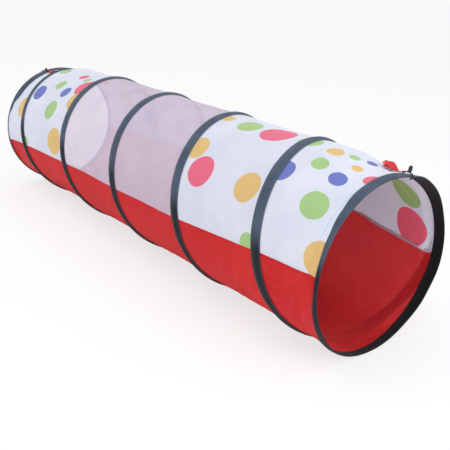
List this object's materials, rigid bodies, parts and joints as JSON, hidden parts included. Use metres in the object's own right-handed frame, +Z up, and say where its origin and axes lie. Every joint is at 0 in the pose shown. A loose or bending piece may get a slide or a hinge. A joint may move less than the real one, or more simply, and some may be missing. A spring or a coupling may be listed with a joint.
{
  "type": "pop-up crawl tunnel",
  "caption": "Fabric crawl tunnel for children, held open by one coiled spring wire; dotted and mesh upper panels, red floor, collapses flat along its length.",
  "frame": {"origin": "middle of the underside, where the casing and hems rest on the floor", "axes": "+X along the tunnel towards its near end, +Z up"},
  "size_m": [1.8036, 0.502, 0.502],
  "materials": {
    "spring_steel": "drawn wire",
    "ferrule_steel": "zinc plated",
    "navy_tape": "woven polyester tape",
    "elastic": "black elastic",
    "white_cloth": "printed polyester taffeta",
    "mesh_cloth": "fine see-through netting",
    "red_cloth": "coated polyester taffeta",
    "seam_tape": "seam binding",
    "ribbon": "satin ribbon"
  },
  "bodies": {
    "near_end": {"near_hem": "navy_tape", "near_joint_cover": "navy_tape", "near_wire_ferrule": "ferrule_steel", "near_tie_strap": "elastic", "near_tie_ribbon": "ribbon", "spring_wire": "spring_steel", "front_seam_tape": "seam_tape", "back_seam_tape": "seam_tape"},
    "far_end": {"far_hem": "navy_tape", "far_joint_cover": "navy_tape", "far_wire_ferrule": "ferrule_steel", "far_tie_strap": "elastic", "far_tie_ribbon": "ribbon", "far_top_panel_1": "white_cloth", "floor_panel_1": "red_cloth"},
    "turn_1": {"coil_casing_1": "navy_tape", "far_top_panel_2": "white_cloth", "floor_panel_2": "red_cloth"},
    "turn_2": {"coil_casing_2": "navy_tape", "mesh_panel_1": "mesh_cloth", "floor_panel_3": "red_cloth"},
    "turn_3": {"coil_casing_3": "navy_tape", "mesh_panel_2": "mesh_cloth", "floor_panel_4": "red_cloth"},
    "turn_4": {"coil_casing_4": "navy_tape", "near_top_panel_1": "white_cloth", "floor_panel_5": "red_cloth"},
    "turn_5": {"coil_casing_5": "navy_tape", "near_top_panel_2": "white_cloth", "floor_panel_6": "red_cloth"}
  },
  "joints": [
    {"name": "collapse", "type": "slide", "parent": "near_end", "child": "far_end", "axis": [1, 0, 0], "range_m": [0, 1.7], "stiffness_N_per_m": 12, "deforming": ["spring_wire", "front_seam_tape", "back_seam_tape", "far_top_panel_1", "floor_panel_1"]},
    {"name": "turn_1_slide", "type": "slide", "parent": "near_end", "child": "turn_1", "axis": [1, 0, 0], "range_m": [0, 1.523], "deforming": ["coil_casing_1", "far_top_panel_2", "floor_panel_2"]},
    {"name": "turn_2_slide", "type": "slide", "parent": "near_end", "child": "turn_2", "axis": [1, 0, 0], "range_m": [0, 1.2042], "deforming": ["coil_casing_2", "mesh_panel_1", "floor_panel_3"]},
    {"name": "turn_3_slide", "type": "slide", "parent": "near_end", "child": "turn_3", "axis": [1, 0, 0], "range_m": [0, 0.8642], "deforming": ["coil_casing_3", "mesh_panel_2", "floor_panel_4"]},
    {"name": "turn_4_slide", "type": "slide", "parent": "near_end", "child": "turn_4", "axis": [1, 0, 0], "range_m": [0, 0.5242], "deforming": ["coil_casing_4", "near_top_panel_1", "floor_panel_5"]},
    {"name": "turn_5_slide", "type": "slide", "parent": "near_end", "child": "turn_5", "axis": [1, 0, 0], "range_m": [0, 0.1913], "deforming": ["coil_casing_5", "near_top_panel_2", "floor_panel_6"]}
  ],
  "couplings": [
    {"joint": "turn_1_slide", "follows": "collapse", "ratio": 0.89583},
    {"joint": "turn_2_slide", "follows": "collapse", "ratio": 0.70833},
    {"joint": "turn_3_slide", "follows": "collapse", "ratio": 0.50833},
    {"joint": "turn_4_slide", "follows": "collapse", "ratio": 0.30833},
    {"joint": "turn_5_slide", "follows": "collapse", "ratio": 0.1125}
  ]
}
